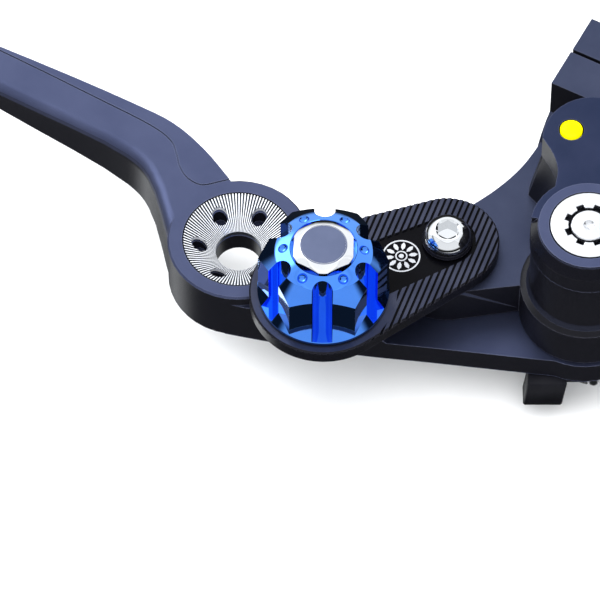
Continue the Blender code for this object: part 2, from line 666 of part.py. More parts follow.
def cover_screw():
    """Small screw that holds the cover's rear end, under the plug."""
    seat = COVER_BOTTOM + 1.5 + GAP
    shape = turned([(0.0, 23.0), (1.5, 23.0), (1.5, seat), (2.4, seat), (2.4, seat + 1.6),
                    (0.0, seat + 1.6)], COARSE)
    return moved(cut(shape, hexagon(1.8, seat + 0.7, seat + 4)), (*PLUG, 0.0))


def yellow_plug():
    """Round plug over the cover screw."""
    base = COVER_BOTTOM + 4.0
    shape = turned([(0.0, base), (2.5, base), (2.5, COVER_TOP + 0.1), (2.1, COVER_TOP + 0.35),
                    (0.0, COVER_TOP + 0.5)], 24)
    return moved(shape, (*PLUG, 0.0))


def lock_washer():
    """Dark washer under the ring nut."""
    floor = COVER_TOP - 1.8 + GAP
    return ring(PIVOT_RADIUS + GAP, 8.2, floor, floor + 0.5)


def ring_nut():
    """Ring nut with eight slots round the end of the pivot bolt."""
    floor = COVER_TOP - 1.8 + GAP + 0.5 + GAP
    shape = ring(PIVOT_RADIUS + 0.5, NUT_RADIUS, floor, COVER_RIM_TOP + 0.1, FINE)
    for i in range(NUT_SLOTS):
        slot = box((3.5, -0.85, floor - 1), (5.4, 0.85, COVER_TOP + 3))
        bmesh.ops.rotate(slot, verts=slot.verts, cent=(0, 0, 0),
                         matrix=Matrix.Rotation(math.radians(KNOB_TURN + 22.5 + 360 / NUT_SLOTS * i), 3, "Z"))
        shape = cut(shape, slot)
    return shape


def pivot_bolt():
    """Pivot bolt, with its hexagon head under the lower ear."""
    head_top = EAR_BOTTOM - GAP
    head = hexagon(13.0, head_top - BOLT_HEAD, head_top, 0.0, 8.7)
    shank = rod(PIVOT_RADIUS, head_top - 1.0, COVER_RIM_TOP + 0.1, MEDIUM, 0.25)
    centre = turned([(0.0, COVER_RIM_TOP - 0.9), (1.2, COVER_RIM_TOP - 0.1), (1.2, COVER_RIM_TOP + 1),
                     (0.0, COVER_RIM_TOP + 1)], 16)
    return cut(unite(head, shank), centre)


# ---------------------------------------------------------------- master cylinder, about its own axis

def pushrod():
    """Short rod between the lever's nose and the piston."""
    start = NOSE_FACE_X + GAP
    return along_x(turned([(0.0, start), (1.6, start + 0.4), (2.5, start + 1.4),
                           (2.5, PISTON_START + 1.0), (0.0, PISTON_START + 1.6)], HIDDEN))


def piston():
    """Piston with a cup groove near each end and a blind seat for the pushrod."""
    start, end, waist = PISTON_START, PISTON_END, 4.4
    shape = turned([(0.0, start + 2.0), (2.8, start + 1.2), (2.8, start), (PISTON_RADIUS, start),
                   (PISTON_RADIUS, start + 3.0), (CUP_GROOVE, start + 3.0), (CUP_GROOVE, start + 6.0),
                   (PISTON_RADIUS, start + 6.0), (PISTON_RADIUS, start + 7.5), (waist, start + 7.5),
                   (waist, end - 6.0), (PISTON_RADIUS, end - 6.0), (PISTON_RADIUS, end - 4.5),
                   (CUP_GROOVE, end - 4.5), (CUP_GROOVE, end - 1.5), (PISTON_RADIUS, end - 1.5),
                   (PISTON_RADIUS, end), (0.0, end)], HIDDEN)
    return along_x(shape)


def piston_cup(start):
    """Rubber seal in one of the piston's grooves, with a flared lip."""
    inner = CUP_GROOVE + GAP
    lip = start + 2.7
    return along_x(turned([(inner, start + GAP), (5.6, start + GAP), (PISTON_RADIUS, lip),
                           (PISTON_RADIUS - 0.8, lip), (5.0, start + 1.6), (inner, start + 1.6)],
                          HIDDEN))


def secondary_cup():
    """Seal near the lever's end of the piston."""
    return piston_cup(PISTON_START + 3.0)


def primary_cup():
    """Seal at the pressure end of the piston."""
    return piston_cup(PISTON_END - 4.5)


def piston_clip():
    """Open retaining ring in the mouth of the bore."""
    outline = arc((0, 0), BORE_RADIUS + 0.5, 30.0, 330.0, 26) + arc((0, 0), 4.6, 330.0, 30.0, 26)
    return along_x(prism(outline, CLIP_X, CLIP_X + 0.7))


def return_spring():
    """Spring that pushes the piston and the lever back."""
    return along_x(coil(4.2, 0.5, PISTON_END + GAP, BORE_END - GAP, 4))


def end_plug():
    """Hexagon plug of the hose port."""
    seat = BARREL_END + GAP + 1.0 + GAP
    head = hexagon(14.0, seat, seat + 5.0, 0.8, 0.0)
    return along_x(unite(head, rod(4.6, BORE_END + 1.0, seat + 1.0, 24)))


def plug_seal():
    """Crush washer under the plug."""
    return along_x(ring(4.9, 7.8, BARREL_END + GAP, BARREL_END + GAP + 1.0))


def inlet_nipple():
    """Barbed nipple for the hose from the fluid reservoir."""
    seat = BORE_Z + BARREL_RADIUS + 2.2 + GAP
    barbs = []
    for i in range(3):
        low = seat + 2.4 + 2.4 * i
        barbs += [(2.9, low), (2.3, low + 2.2)]
    shape = turned([(0.0, BORE_Z + 6.4), (2.6, BORE_Z + 6.4), (2.6, seat), (4.4, seat), (4.4, seat + 1.4),
                    (2.3, seat + 1.8)] + barbs + [(1.9, seat + 9.8), (0.0, seat + 9.8)], 16)
    return moved(cut(shape, rod(1.2, 0.0, 40.0, 12)), (NIPPLE_X, BORE_Y, 0.0))


# ---------------------------------------------------------------- safety switch, on its turned axes

def switch_housing():
    """Moulded housing in front of the lower ear, with a tab that takes the screw."""
    top = [(SWITCH_LEFT, SWITCH_FRONT), (SWITCH_RIGHT, SWITCH_FRONT),
           (SWITCH_RIGHT, SWITCH_REAR), (SWITCH_LEFT, SWITCH_REAR)]
    bottom = [(u - SWITCH_LEAN, w) for u, w in top]
    body = prism(bottom, SWITCH_BOTTOM, SWITCH_TOP, top)
    bmesh.ops.bevel(body, geom=body.edges[:], offset=0.4, segments=1, profile=0.5, affect="EDGES")
    tab_top = EAR_BOTTOM - GAP
    tab_root = [(TAB_CENTRE[0] + side * TAB_RADIUS, SWITCH_REAR - 1) for side in (-1, 1)]
    tab = prism(arc(TAB_CENTRE, TAB_RADIUS, 0.0, 180.0, 14) + tab_root, tab_top - 2.0, tab_top)
    bore = along_x(rod(PLUNGER_RADIUS + GAP, SWITCH_LEFT + 1.6, 0.0, COARSE))
    bore = moved(bore, (0.0, PLUNGER_LINE, PLUNGER_Z))
    hole = moved(rod(1.25 + GAP, -10.0, 0.0), (*TAB_CENTRE, 0.0))
    return cut(unite(body, tab), bore, hole)


def switch_screw():
    """Pan-head screw of the switch, driven from below."""
    seat = EAR_BOTTOM - 2.0 - 2 * GAP
    shape = turned([(0.0, -1.0), (1.25, -1.0), (1.25, seat), (2.3, seat), (2.3, seat - 1.2),
                    (1.8, seat - 1.6), (0.0, seat - 1.6)], COARSE)
    for x, y in ((1.3, 0.3), (0.3, 1.3)):
        shape = cut(shape, box((-x, -y, seat - 3.0), (x, y, seat - 0.8)))
    return moved(shape, (*TAB_CENTRE, 0.0))


def switch_plunger():
    """Sliding button that the striker pin pushes in."""
    face = STRIKER[0] - STRIKER_RADIUS - GAP
    shape = along_x(rod(PLUNGER_RADIUS, face - 7.2, face, 16, 0.2))
    return moved(shape, (0.0, PLUNGER_LINE, PLUNGER_Z))


# ---------------------------------------------------------------- objects

def material(name, colour, roughness, metallic):
    """A Principled material."""
    made = bpy.data.materials.new(name)
    made.use_nodes = True
    shader = made.node_tree.nodes["Principled BSDF"]
    shader.inputs["Base Color"].default_value = (*colour, 1.0)
    shader.inputs["Roughness"].default_value = roughness
    shader.inputs["Metallic"].default_value = metallic
    return made


def axis(name, place, turn=0.0):
    """An empty on a joint's axis, turned about Z by an angle in degrees."""
    empty = bpy.data.objects.new(name, None)
    empty.location = (Vector(place) + Vector((0.0, 0.0, LEVER_HEIGHT))) * MM
    empty.rotation_euler = (0.0, 0.0, math.radians(turn))
    empty.empty_display_size = 0.01
    bpy.context.collection.objects.link(empty)
    return empty


def add(name, shape, finish, parent):
    """One named object, in metres, smooth where it is round."""
    shape = tidy(shape)
    bmesh.ops.scale(shape, verts=shape.verts, vec=(MM, MM, MM))
    mesh = bpy.data.meshes.new(name)
    shape.to_mesh(mesh)
    shape.free()
    mesh.materials.append(finish)
    mesh.shade_smooth()
    mesh.set_sharp_from_angle(angle=math.radians(25))
    made = bpy.data.objects.new(name, mesh)
    made.parent = parent
    bpy.context.collection.objects.link(made)


def main():
    """Build every piece and hang it on its axis."""
    for old in list(bpy.data.objects):
        bpy.data.objects.remove(old)

    slate = material("slate_anodised", (0.055, 0.07, 0.12), 0.38, 0.7)
    black = material("black_anodised", (0.012, 0.013, 0.018), 0.4, 0.6)
    blue = material("blue_anodised", (0.03, 0.16, 0.85), 0.15, 1.0)
    chrome = material("chrome", (0.85, 0.86, 0.88), 0.08, 1.0)
    steel = material("steel", (0.6, 0.61, 0.63), 0.3, 1.0)
    bronze = material("bronze", (0.55, 0.36, 0.16), 0.4, 1.0)
    rubber = material("rubber", (0.015, 0.015, 0.016), 0.7, 0.0)
    plastic = material("plastic", (0.02, 0.02, 0.024), 0.5, 0.0)
    yellow = material("yellow", (0.95, 0.72, 0.02), 0.3, 0.0)
    brass = material("brass", (0.75, 0.56, 0.22), 0.3, 1.0)

    perch = axis("perch_frame", (0.0, 0.0, 0.0))
    lever = axis("lever_axis", (0.0, 0.0, 0.0))
    knob = axis("knob_axis", (*KNOB, 0.0), KNOB_TURN)
    cylinder = axis("cylinder_axis", (0.0, BORE_Y, BORE_Z))
    slide = axis("piston_axis", (0.0, BORE_Y, BORE_Z))
    switch = axis("switch_axis", (0.0, 0.0, 0.0), SWITCH_TURN)

    groups = [
        (perch, [("perch_body", perch_body, black), ("pivot_cover", pivot_cover, slate),
                 ("cover_screw", cover_screw, steel), ("yellow_plug", yellow_plug, yellow),
                 ("lock_washer", lock_washer, plastic), ("ring_nut", ring_nut, chrome),
                 ("pivot_bolt", pivot_bolt, steel), ("clamp_cap", clamp_cap, black),
                 ("clamp_bolt_upper", upper_clamp_bolt, steel),
                 ("clamp_bolt_lower", lower_clamp_bolt, steel),
                 ("link_plate", link_plate, black), ("shaft_bush", shaft_bush, bronze),
                 ("cup_washer", cup_washer, chrome), ("dome_screw", dome_screw, chrome),
                 ("inlet_nipple", inlet_nipple, plastic)]),
        (cylinder, [("piston_clip", piston_clip, steel), ("return_spring", return_spring, steel),
                    ("end_plug", end_plug, steel), ("plug_seal", plug_seal, brass)]),
        (slide, [("piston", piston, steel), ("pushrod", pushrod, steel),
                 ("primary_cup", primary_cup, rubber), ("secondary_cup", secondary_cup, rubber)]),
        (switch, [("switch_housing", switch_housing, plastic), ("switch_screw", switch_screw, steel),
                  ("switch_plunger", switch_plunger, plastic)]),
        (lever, [("lever_blade", lever_blade, slate), ("serrated_ring", serrated_ring, steel),
                 ("pivot_bush", pivot_bush, bronze), ("striker_pin", striker_pin, steel)]),
        (knob, [("adjuster_knob", adjuster_knob, blue), ("knob_bolt", knob_bolt, chrome),
                ("adjuster_shaft", adjuster_shaft, steel), ("cam_sleeve", cam_sleeve, steel),
                ("detent_ball", detent_ball, steel), ("detent_spring", detent_spring, steel)]),
    ]
    for parent, pieces in groups:
        for name, shape, finish in pieces:
            add(name, shape(), finish, parent)


main()
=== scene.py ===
"""Looks of the clutch lever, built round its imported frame.

Shapes are drawn in millimetres, in the frame's own axes, and become metres when their object is made.
"""
import math

import bmesh
import bpy
from mathutils import Matrix, Vector


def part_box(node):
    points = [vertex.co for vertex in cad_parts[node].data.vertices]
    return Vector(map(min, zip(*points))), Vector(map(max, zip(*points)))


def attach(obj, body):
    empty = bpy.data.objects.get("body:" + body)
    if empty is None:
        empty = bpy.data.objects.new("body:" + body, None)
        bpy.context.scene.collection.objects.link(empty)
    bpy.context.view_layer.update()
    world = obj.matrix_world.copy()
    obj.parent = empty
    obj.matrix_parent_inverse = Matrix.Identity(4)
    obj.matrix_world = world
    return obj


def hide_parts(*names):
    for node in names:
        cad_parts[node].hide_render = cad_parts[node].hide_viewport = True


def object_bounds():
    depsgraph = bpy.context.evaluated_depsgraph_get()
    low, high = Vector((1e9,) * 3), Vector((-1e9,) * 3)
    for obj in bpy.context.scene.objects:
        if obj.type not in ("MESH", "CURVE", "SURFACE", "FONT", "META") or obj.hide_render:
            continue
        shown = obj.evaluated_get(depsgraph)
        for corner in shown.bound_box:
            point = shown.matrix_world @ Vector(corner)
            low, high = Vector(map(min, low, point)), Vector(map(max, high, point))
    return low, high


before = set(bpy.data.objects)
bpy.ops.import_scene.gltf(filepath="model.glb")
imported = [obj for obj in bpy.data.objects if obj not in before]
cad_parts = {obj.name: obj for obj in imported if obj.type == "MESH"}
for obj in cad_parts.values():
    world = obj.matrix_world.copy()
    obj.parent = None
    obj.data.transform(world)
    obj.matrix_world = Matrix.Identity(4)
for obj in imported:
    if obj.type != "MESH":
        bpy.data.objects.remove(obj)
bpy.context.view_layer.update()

MM = 0.001

# Lever
TEETH = 108                    # radial serrations of the seat
TOOTH_DEPTH = 0.42             # at the seat's rim
TOOTH_TAPER = 0.35             # a tooth's depth at the bore, as a share of that at the rim
TOOTH_STEPS = (0.0, 0.1, 0.5, 0.6)     # foot, top, top and foot, as shares of a tooth's pitch
HUB_BORE = 5.1
SEAT_RADIUS = 12.2
SEAT_DEPTH = 4.8
SEAT_SINK = 0.05
SEAT_EDGE = 1.2
PEG_RADIUS = 1.8
PEG_CIRCLE = 8.7
SEAM_WIDTH = 0.32
SEAM_DEPTH = 0.35

# Knob
KNOB_TURN = 26.5               # heading of one corner
KNOB_ACROSS_FLATS = 24.8
FOOT_EDGE = 1.0                # upright part of the round foot
FOOT_RISE = 2.5                # sloped part above it
TOP_RADIUS = 10.6
TOP_EDGE = 0.14                # rounding where the shoulder meets the crown
CROWN = 1.3
CROWN_POINTS = ((9.6, 0.86), (8.4, 0.38))      # radius, and depth below the top
SHOULDER_SLOPE = 0.97
RECESS_RADIUS = 7.3
RECESS_EDGE = 0.12
RECESS_DEPTH = 2.5
SHAFT_HOLE = 4.9
FLUTE_RADIUS = 2.28
FLUTE_CIRCLE = 10.65
DIMPLE_RADIUS = 1.25
DIMPLE_DROP = 0.15
DIMPLE_CIRCLE = 9.0

# Knob's bolt
BOLT_ACROSS_FLATS = 13.0
BOLT_CORNER = 7.0              # radius to which the corners are turned
BOLT_SHANK = 2.5
BOLT_CHAMFER = ((1.0, 0.42), (0.25, 0.1))      # radius beyond the disc, and depth below the top
BOLT_SHOULDER = 0.9            # depth of the turned corners below the top
DISC_RADIUS = 5.15
DISC_GROOVE = (0.3, 0.12)      # its two walls, inside the disc's edge
DISC_GROOVE_DEPTH = 0.12

# Cover
COVER_RIM = 11.0
COVER_SLOPE = ((0.05, 0.3), (4.0, 0.3), (4.0, 7.0), (1.6, 2.8))     # beyond the rim, and below the top
COVER_SLOPE_END = 72.0         # from the heading of the yellow plug
BOSS_FOOT = 14.3

# Plate
PLATE_RADII = (16.3, 11.5)
PLATE_CHAMFER = 0.35
PANEL_RADII = (7.6, 6.3)
RIBS_EACH_WAY = 26
RIB_PITCH = 1.3
RIB_WIDTH = 0.75
RIB_DEPTH = 0.55
RIB_REACH = 40.0
RIB_HEADING = 97.5             # the ribs' direction in plan
SHAFT_OPENING = 6.9
SCREW_OPENING = 3.3

# Rosette on the plate
ROSETTE_ALONG = 19.6           # from the knob towards the dome screw
ROSETTE_ASIDE = 1.0
ROSETTE_HEIGHT = 0.06
ROSETTE_RINGS = ((4.2, 0.34), (1.35, 0.3))     # outer radius and width
ROSETTE_DOT = 0.55
PETALS = 10
PETAL = ((1.6, 0.0), (2.2, 0.42), (3.0, 0.46), (3.65, 0.0), (3.0, -0.46), (2.2, -0.42))

# Dome screw and its washer
SOCKET = 4.3                   # across flats
SOCKET_FLOOR = 1.2             # above the dome's foot
SOCKET_MOUTH = 0.75            # width of the turned bevel round it
SCREW_HOLE = 3.3
SHANK_RADIUS = 3.0
DOME_GAP = 0.3                 # between washer and dome
DOME_INSET = 0.4               # of the dome from the washer's edge
DOME_FLAT = 3.05               # radius of the flat on top
DOME_EDGE = 0.15
DOME_STEPS = 16

# Materials
WALL_NORMAL = (0.25, 0.85)     # upward share of the normal on an upright face, and on a top; the painted shade of upright faces fades out between them
# width of the painted highlight on sharp edges
EDGE_HIGHLIGHT_WIDTH = 0.4
GRAZING_BLUE = (0.25, 0.62, 1.0)
SHARP_ANGLE = 38.0
BEVEL_ANGLE = 32.0

# Camera
CAMERA_AZIMUTH = 28.0
CAMERA_ELEVATION = 57.0
CAMERA_DISTANCE = 1320.0
CAMERA_LENS = 360.0
AIM_FROM_KNOB = (-4.95, -1.6, -5.4)
LIGHT_DISTANCE = 1600.0


def place(node):
    """Middle of a CAD node in plan, then its lowest and its highest level."""
    low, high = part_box(node)
    low, high = low / MM, high / MM
    return ((low.x + high.x) / 2, (low.y + high.y) / 2), low.z, high.z


HUB, SEAT_LOW, LEVER_TOP = place("serrated_ring")
KNOB, KNOB_LOW, KNOB_TOP = place("adjuster_knob")
DOME, _, _ = place("dome_screw")
KNOB_RADIUS = (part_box("adjuster_knob")[1].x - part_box("adjuster_knob")[0].x) / 2 / MM


# ---------------------------------------------------------------- plan outlines

def polar(centre, radius, degrees):
    """The point at a radius and an angle from a centre."""
    angle = math.radians(degrees)
    return (centre[0] + radius * math.cos(angle), centre[1] + radius * math.sin(angle))


def arc(centre, radius, start, end, steps):
    """Points on a circle from one angle to another, both included."""
    return [polar(centre, radius, start + (end - start) * i / steps) for i in range(steps + 1)]


def circle(centre, radius, steps):
    """A full circle without a doubled point."""
    return arc(centre, radius, 0.0, 360.0, steps)[:-1]


def curve(points, steps=8):
    """A smooth curve through a few points of a plan."""
    knots = [Vector(p) for p in points]
    knots = [2 * knots[0] - knots[1]] + knots + [2 * knots[-1] - knots[-2]]
    result = []
    for p0, p1, p2, p3 in zip(knots, knots[1:], knots[2:], knots[3:]):
        for step in range(steps):
            t = step / steps
            result.append(0.5 * (2 * p1 + (p2 - p0) * t + (2 * p0 - 5 * p1 + 4 * p2 - p3) * t * t
                                 + (3 * p1 - p0 - 3 * p2 + p3) * t ** 3))
    return [tuple(p) for p in result] + [tuple(knots[-2])]


def link_outline(first, first_radius, second, second_radius, steps):
    """Two circles joined by their outer tangents."""
    line = Vector(second) - Vector(first)
    heading = math.degrees(math.atan2(line.y, line.x))
    lean = math.degrees(math.acos((first_radius - second_radius) / line.length))
    near = arc(first, first_radius, heading + lean, heading + 360.0 - lean, steps)
    far = arc(second, second_radius, heading - lean, heading + lean, steps)
    return near + far


# ---------------------------------------------------------------- solids as bmeshes

def prism(outline, bottom, top, top_outline=None):
    """A closed solid between two levels."""
    shape = bmesh.new()
    low = [shape.verts.new((x, y, bottom)) for x, y in outline]
    high = [shape.verts.new((x, y, top)) for x, y in top_outline or outline]
    shape.faces.new(low)
    shape.faces.new(high)
    for i in range(len(low)):
        j = (i + 1) % len(low)
        shape.faces.new((low[i], low[j], high[j], high[i]))
    bmesh.ops.recalc_face_normals(shape, faces=shape.faces)
    return shape


def turned(profile, steps):
    """A solid of revolution about Z from (radius, height) points; a radius of 0 is on the axis."""
    shape = bmesh.new()
    rings = []
    for radius, height in profile:
        if radius == 0.0:
            rings.append([shape.verts.new((0.0, 0.0, height))])
        else:
            rings.append([shape.verts.new((x, y, height)) for x, y in circle((0, 0), radius, steps)])
    pairs = list(zip(rings, rings[1:]))
    if len(rings[0]) > 1:
        pairs.append((rings[-1], rings[0]))
    for first, second in pairs:
        for i in range(steps):
            j = (i + 1) % steps
            corners = [first[i % len(first)], first[j % len(first)],
                       second[j % len(second)], second[i % len(second)]]
            shape.faces.new(list(dict.fromkeys(corners)))
    bmesh.ops.recalc_face_normals(shape, faces=shape.faces)
    return shape


def rod(radius, bottom, top, steps=24):
    """A round bar along Z."""
    return turned([(0.0, bottom), (radius, bottom), (radius, top), (0.0, top)], steps)


def moved(shape, x, y, z=0.0):
    """The same shape, shifted."""
    bmesh.ops.translate(shape, verts=shape.verts, vec=(x, y, z))
    return shape


def turned_by(shape, degrees):
    """The same shape, turned about Z."""
    matrix = Matrix.Rotation(math.radians(degrees), 4, "Z")
    bmesh.ops.transform(shape, matrix=matrix, verts=shape.verts)
    return shape


def joined(shapes):
    """Several shapes in one mesh, as separate bodies."""
    result = bmesh.new()
    for shape in shapes:
        mesh = bpy.data.meshes.new("join_work")
        shape.to_mesh(mesh)
        shape.free()
        result.from_mesh(mesh)
        bpy.data.meshes.remove(mesh)
    return result


def boolean(base, tool, operation="DIFFERENCE"):
    """An exact Boolean of two closed shapes, which are used up; faces keep their material numbers."""
    workers = []
    for shape in (base, tool):
        mesh = bpy.data.meshes.new("boolean_work")
        shape.to_mesh(mesh)
        shape.free()
        worker = bpy.data.objects.new("boolean_work", mesh)
        bpy.context.collection.objects.link(worker)
        workers.append(worker)
    modifier = workers[0].modifiers.new("boolean", "BOOLEAN")
    modifier.operation = operation
    modifier.solver = "EXACT"
    modifier.use_self = True
    modifier.object = workers[1]
    result = bmesh.new()
    result.from_object(workers[0], bpy.context.evaluated_depsgraph_get())
    for worker in workers:
        mesh = worker.data
        bpy.data.objects.remove(worker)
        bpy.data.meshes.remove(mesh)
    bmesh.ops.remove_doubles(result, verts=result.verts, dist=0.001)
    return result


def cad_copy(node):
    """A CAD node's surface in millimetres, joined up and with its flat faces whole."""
    shape = bmesh.new()
    shape.from_mesh(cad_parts[node].data)
    bmesh.ops.scale(shape, vec=(1 / MM,) * 3, verts=shape.verts)
    bmesh.ops.remove_doubles(shape, verts=shape.verts, dist=0.002)
    bmesh.ops.dissolve_limit(shape, angle_limit=math.radians(0.3), verts=shape.verts, edges=shape.edges)
    return shape


# ---------------------------------------------------------------- materials

def math_node(tree, operation, first, second=None):
    """One arithmetic node; an input is a socket or a number."""
    made = tree.nodes.new("ShaderNodeMath")
    made.operation = operation
    for i, value in enumerate((first, second)):
        if value is None:
            continue
        if isinstance(value, (int, float)):
            made.inputs[i].default_value = value
        else:
            tree.links.new(value, made.inputs[i])
    return made.outputs[0]


def mixed(tree, low, high, factor):
    """A colour between two, by a socket; each of the two is a colour or a socket."""
    mix = tree.nodes.new("ShaderNodeMix")
    mix.data_type = "RGBA"
    for number, colour in ((6, low), (7, high)):
        if isinstance(colour, tuple):
            mix.inputs[number].default_value = (*colour, 1.0)
        else:
            tree.links.new(colour, mix.inputs[number])
    tree.links.new(factor, mix.inputs[0])
    return mix.outputs[2]


def ranged(tree, value, start, end, low=0.0, high=1.0, soft=False):
    """A socket mapped from one range onto another, in a straight line or with soft ends."""
    made = tree.nodes.new("ShaderNodeMapRange")
    if soft:
        made.interpolation_type = "SMOOTHSTEP"
    made.inputs["From Min"].default_value = start
    made.inputs["From Max"].default_value = end
    made.inputs["To Min"].default_value = low
    made.inputs["To Max"].default_value = high
    tree.links.new(value, made.inputs["Value"])
    return made.outputs["Result"]


def noise(tree, scale, detail=2.0, stretch=(1.0, 1.0, 1.0)):
    """Noise in the object's own space; scale is in features per metre."""
    where = tree.nodes.new("ShaderNodeTexCoord")
    mapping = tree.nodes.new("ShaderNodeMapping")
    mapping.inputs["Scale"].default_value = stretch
    tree.links.new(where.outputs["Object"], mapping.inputs["Vector"])
    made = tree.nodes.new("ShaderNodeTexNoise")
    made.inputs["Scale"].default_value = scale
    made.inputs["Detail"].default_value = detail
    tree.links.new(mapping.outputs["Vector"], made.inputs["Vector"])
    return made.outputs["Fac"]


def spread(tree, value, low=0.0, high=1.0):
    """The middle of a noise, where most of its values lie, mapped onto a range."""
    return ranged(tree, value, 0.3, 0.7, low, high)


def facing_up(tree):
    """A socket that is 0 on walls and 1 on level tops; it places the painted shade of upright faces."""
    geometry = tree.nodes.new("ShaderNodeNewGeometry")
    parts = tree.nodes.new("ShaderNodeSeparateXYZ")
    tree.links.new(geometry.outputs["True Normal"], parts.inputs[0])
    return ranged(tree, parts.outputs["Z"], *WALL_NORMAL, soft=True)


def edge_highlight_mask(tree):
    """A socket that is 1 on sharp edges and 0 on the faces between them; it places the painted highlight on
    sharp edges.
    """
    bevel = tree.nodes.new("ShaderNodeBevel")
    bevel.samples = 4
    bevel.inputs["Radius"].default_value = EDGE_HIGHLIGHT_WIDTH * MM
    geometry = tree.nodes.new("ShaderNodeNewGeometry")
    alike = tree.nodes.new("ShaderNodeVectorMath")
    alike.operation = "DOT_PRODUCT"
    tree.links.new(bevel.outputs["Normal"], alike.inputs[0])
    tree.links.new(geometry.outputs["Normal"], alike.inputs[1])
    return ranged(tree, alike.outputs["Value"], 0.98, 0.75)


def finish(name, dark, light, roughness, metallic, grain=6000.0, bump=0.1, stretch=(1, 1, 1), coat=0.0,
           edge=None, wall_shade=None, shine=0.5):
    """A surface with mottled colour, uneven gloss and a fine grain, which is in features per metre.

    Edge is its colour on sharp edges, a painted highlight, and wall_shade that of its upright faces, which
    have no metallic shine: painted shade, while level tops keep the lighter colour.
    """
    made = bpy.data.materials.new(name)
    made.use_nodes = True
    tree = made.node_tree
    shader = tree.nodes["Principled BSDF"]
    colour = mixed(tree, dark, light, spread(tree, noise(tree, 120.0, 4.0)))
    # painted shade: upright faces take the near-black wall_shade colour and lose their metallic shine, while
    # level tops keep the lighter colour
    if wall_shade:
        faced = facing_up(tree)
        colour = mixed(tree, wall_shade, colour, faced)
        tree.links.new(math_node(tree, "MULTIPLY", faced, metallic), shader.inputs["Metallic"])
    # painted highlight: sharp edges take the lighter edge colour
    if edge:
        colour = mixed(tree, colour, edge, edge_highlight_mask(tree))
    tree.links.new(colour, shader.inputs["Base Color"])
    fine = noise(tree, grain, 3.0, stretch)
    tree.links.new(spread(tree, fine, roughness * 0.85, roughness * 1.15), shader.inputs["Roughness"])
    height = tree.nodes.new("ShaderNodeBump")
    height.inputs["Strength"].default_value = bump
    height.inputs["Distance"].default_value = 0.00005
    tree.links.new(fine, height.inputs["Height"])
    tree.links.new(height.outputs["Normal"], shader.inputs["Normal"])
    shader.inputs["Metallic"].default_value = metallic
    shader.inputs["Specular IOR Level"].default_value = shine
    shader.inputs["Coat Weight"].default_value = coat
    shader.inputs["Coat Roughness"].default_value = 0.06
    return made


def blue_finish():
    """Clear blue anodising on a turned, polished surface: deeper face on, paler towards grazing."""
    made = finish("blue_anodised", (0.05, 0.23, 0.86), (0.06, 0.27, 0.95), 0.05, 1.0, 2500.0, 0.02,
                  coat=0.7)
    tree = made.node_tree
    shader = tree.nodes["Principled BSDF"]
    base = shader.inputs["Base Color"].links[0].from_socket
    grazing = tree.nodes.new("ShaderNodeLayerWeight")
    grazing.inputs["Blend"].default_value = 0.15
    colour = mixed(tree, base, GRAZING_BLUE, grazing.outputs["Facing"])
    tree.links.new(colour, shader.inputs["Base Color"])
    return made


# painted shade for upright faces; the edge colours below are painted highlights on sharp edges
PAINTED_WALL_SHADE = (0.005, 0.005, 0.008)
SLATE = finish("slate_anodised", (0.06, 0.071, 0.135), (0.072, 0.084, 0.155), 0.4, 0.9, 9000.0, 0.12,
               edge=(0.13, 0.145, 0.23), wall_shade=PAINTED_WALL_SHADE, shine=0.1)
COVER = finish("cover_anodised", (0.022, 0.03, 0.066), (0.03, 0.038, 0.08), 0.36, 0.9, 9000.0, 0.1,
               edge=(0.09, 0.1, 0.16), wall_shade=PAINTED_WALL_SHADE, shine=0.1)
ARM = finish("arm_anodised", (0.042, 0.05, 0.09), (0.052, 0.061, 0.105), 0.4, 0.9, 8000.0, 0.12,
             edge=(0.08, 0.085, 0.12), wall_shade=PAINTED_WALL_SHADE, shine=0.1)
BLACK = finish("black_anodised", (0.003, 0.003, 0.005), (0.005, 0.005, 0.008), 0.3, 0.0, 8000.0, 0.1,
               edge=(0.03, 0.03, 0.04), shine=0.12)
PANEL = finish("black_polished", (0.001, 0.001, 0.0015), (0.002, 0.002, 0.003), 0.2, 0.0, 5000.0, 0.02,
               shine=0.06)
# rib tops: a painted highlight on the plate's top faces
RIB = finish("rib_tops", (0.035, 0.039, 0.066), (0.055, 0.06, 0.092), 0.42, 0.9, 7000.0, 0.2, (1, 0.2, 1))
BLUE = blue_finish()
CHROME = finish("chrome", (0.78, 0.79, 0.81), (0.88, 0.89, 0.9), 0.06, 1.0, 3000.0, 0.015)
SATIN = finish("satin_nickel", (0.8, 0.81, 0.84), (0.9, 0.9, 0.92), 0.24, 1.0, 9000.0, 0.05)
DISC = finish("faced_disc", (0.1, 0.12, 0.2), (0.125, 0.145, 0.235), 0.42, 0.9, 12000.0, 0.12)
STEEL = finish("machined_steel", (0.42, 0.43, 0.45), (0.56, 0.57, 0.59), 0.3, 1.0, 5000.0, 0.15)
TOOTH = finish("tooth_tops", (0.78, 0.8, 0.84), (0.92, 0.93, 0.96), 0.4, 0.35, 6000.0, 0.1)
